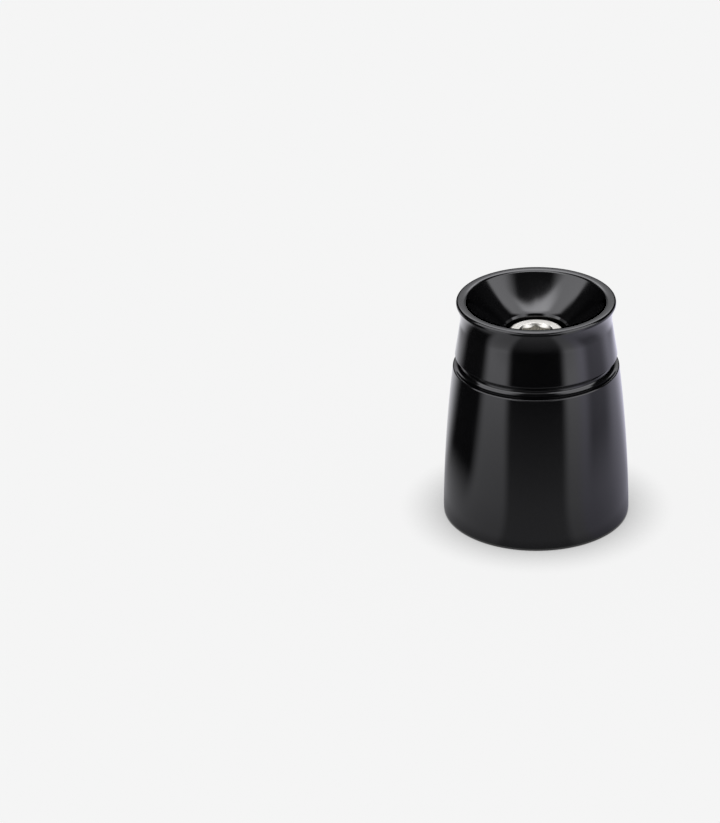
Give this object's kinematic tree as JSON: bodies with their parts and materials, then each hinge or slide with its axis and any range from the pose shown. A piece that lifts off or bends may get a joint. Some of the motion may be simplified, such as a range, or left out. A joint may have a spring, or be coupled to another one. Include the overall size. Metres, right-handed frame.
{
  "type": "bar end weight",
  "caption": "Turned, tapered bar end weight with a flared rim, a conical cup, a groove and a recessed socket cap screw.",
  "frame": {"origin": "centre of the rear face, where it seats on the end of the handlebar, on the axis of the screw", "axes": "+Z along the turning axis, out of the handlebar towards the open cup; X and Y are alike, because the body is round"},
  "size_m": [0.0338, 0.0338, 0.0521],
  "materials": {
    "body": "black anodised, fine turned, semi-gloss",
    "screw": "plain stainless steel, satin"
  },
  "bodies": {
    "root": {"body": "body", "screw": "screw"}
  },
  "joints": []
}
